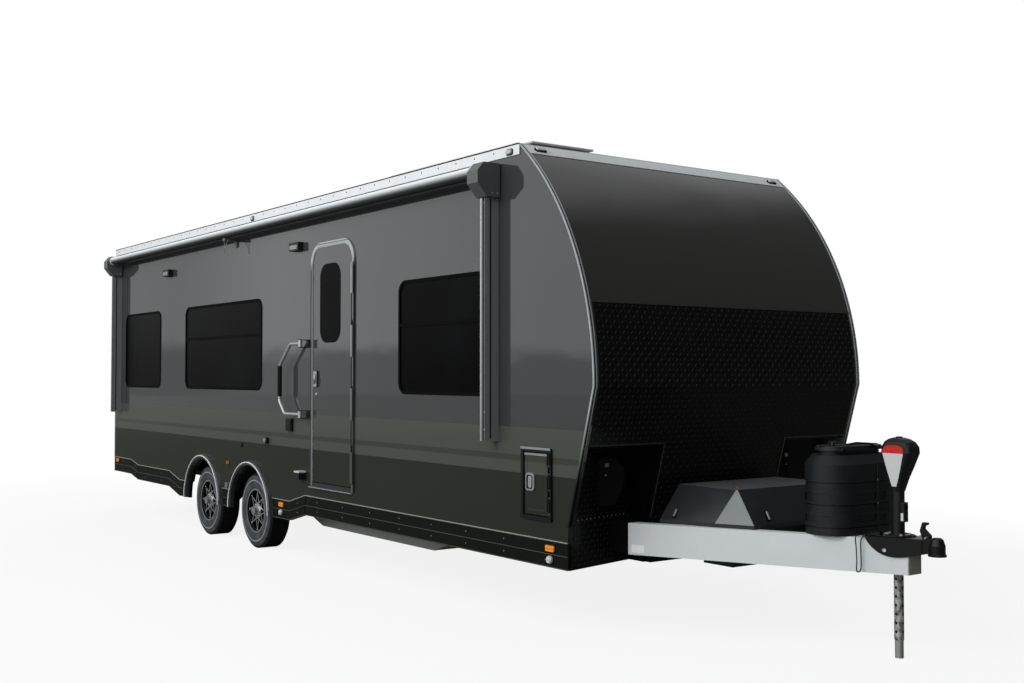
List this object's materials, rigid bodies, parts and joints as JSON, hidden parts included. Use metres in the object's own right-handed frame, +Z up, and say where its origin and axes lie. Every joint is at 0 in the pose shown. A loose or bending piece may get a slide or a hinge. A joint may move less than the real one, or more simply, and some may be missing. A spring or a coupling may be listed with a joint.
{
  "type": "toy hauler travel trailer",
  "caption": "Toy hauler travel trailer with a rounded nose, rear ramp door, side entry door, rolled awning and an A-frame tongue, parked on its jack.",
  "frame": {"origin": "centre of the tongue jack's foot, where it stands on the ground", "axes": "+X forward along the trailer to the coupler, +Z up, -Y the curb side with the entry door"},
  "size_m": [10.974, 2.815, 3.525],
  "materials": {
    "aluminium_beam": "grey white powder coat",
    "chassis_black": "satin",
    "skin": "gloss",
    "tread_plate": "gloss",
    "trim": "brushed",
    "roofing": "matte",
    "deck": "mill finish",
    "black_trim": "satin",
    "glass": "tinted",
    "tyre": "matte",
    "alloy_wheel": "gloss",
    "moulded_cover": "satin",
    "box_paint": "satin",
    "steel_tube": "zinc plated",
    "awning_metal": "satin",
    "lens": "clear",
    "solar_glass": "clear over dark cells",
    "cord": "matte",
    "lamp_red": "clear"
  },
  "bodies": {
    "trailer": {"side_wall_curb": "skin", "side_wall_street": "skin", "nose_panel": "skin", "rock_guard": "tread_plate", "corner_recesses": "tread_plate", "roof_panel": "roofing", "roof_trim": "trim", "side_sills": "chassis_black", "wheel_wells": "deck", "wheel_flares": "black_trim", "floor_deck": "deck", "main_rails": "chassis_black", "tongue_beams": "aluminium_beam", "cross_members": "chassis_black", "belly_pan": "trim", "axles": "chassis_black", "rear_frame": "skin", "rear_lamps": "lamp_red", "entry_door_frame": "trim", "baggage_frames": "black_trim", "window_rims": "black_trim", "window_panes": "glass", "awning_roller": "awning_metal", "awning_arms": "awning_metal", "air_conditioner": "roofing", "solar_panels": "solar_glass", "vent_bases": "roofing", "propane_cover": "moulded_cover", "storage_tray": "box_paint", "storage_cover": "box_paint", "tongue_jack": "moulded_cover", "jack_leg": "steel_tube", "coupler": "chassis_black", "lead_cord": "cord", "handle_brackets": "black_trim", "side_lights": "lens", "wall_fittings": "black_trim"},
    "entry_door": {"entry_door": "skin", "entry_door_window": "glass"},
    "ramp_door": {"ramp_door": "skin"},
    "baggage_door_curb": {"baggage_door_curb": "black_trim"},
    "baggage_door_street": {"baggage_door_street": "black_trim"},
    "grab_handle": {"grab_handle": "steel_tube"},
    "vent_lid_front": {"vent_lid_front": "roofing"},
    "vent_lid_rear": {"vent_lid_rear": "roofing"},
    "wheel_front_curb": {"tyre_front_curb": "tyre", "rim_front_curb": "alloy_wheel"},
    "wheel_front_street": {"tyre_front_street": "tyre", "rim_front_street": "alloy_wheel"},
    "wheel_rear_curb": {"tyre_rear_curb": "tyre", "rim_rear_curb": "alloy_wheel"},
    "wheel_rear_street": {"tyre_rear_street": "tyre", "rim_rear_street": "alloy_wheel"}
  },
  "joints": [
    {"name": "wheel_front_curb_spin", "type": "hinge", "parent": "trailer", "child": "wheel_front_curb", "pos_m": [-6.436, -1.141, 0.36], "axis": [0, 1, 0], "continuous": true},
    {"name": "wheel_front_street_spin", "type": "hinge", "parent": "trailer", "child": "wheel_front_street", "pos_m": [-6.436, 1.141, 0.36], "axis": [0, 1, 0], "continuous": true},
    {"name": "wheel_rear_curb_spin", "type": "hinge", "parent": "trailer", "child": "wheel_rear_curb", "pos_m": [-7.636, -1.141, 0.36], "axis": [0, 1, 0], "continuous": true},
    {"name": "wheel_rear_street_spin", "type": "hinge", "parent": "trailer", "child": "wheel_rear_street", "pos_m": [-7.636, 1.141, 0.36], "axis": [0, 1, 0], "continuous": true},
    {"name": "entry_door_hinge", "type": "hinge", "parent": "trailer", "child": "entry_door", "pos_m": [-4.4, -1.3035, 1.765], "axis": [0, 0, 1], "range_deg": [0, 150]},
    {"name": "ramp_door_hinge", "type": "hinge", "parent": "trailer", "child": "ramp_door", "pos_m": [-10.64, 0, 0.705], "axis": [0, -1, 0], "range_deg": [0, 106]},
    {"name": "baggage_door_curb_hinge", "type": "hinge", "parent": "trailer", "child": "baggage_door_curb", "pos_m": [-1.722, -1.3055, 0.959], "axis": [0, 0, 1], "range_deg": [0, 110]},
    {"name": "baggage_door_street_hinge", "type": "hinge", "parent": "trailer", "child": "baggage_door_street", "pos_m": [-1.722, 1.3055, 0.959], "axis": [0, 0, -1], "range_deg": [0, 110]},
    {"name": "grab_handle_hinge", "type": "hinge", "parent": "trailer", "child": "grab_handle", "pos_m": [-5.226, -1.365, 1.6385], "axis": [0, 0, 1], "range_deg": [0, 180]},
    {"name": "vent_lid_front_hinge", "type": "hinge", "parent": "trailer", "child": "vent_lid_front", "pos_m": [-5.234, 0, 3.288], "axis": [0, 1, 0], "range_deg": [0, 60]},
    {"name": "vent_lid_rear_hinge", "type": "hinge", "parent": "trailer", "child": "vent_lid_rear", "pos_m": [-8.234, 0, 3.288], "axis": [0, 1, 0], "range_deg": [0, 60]}
  ]
}
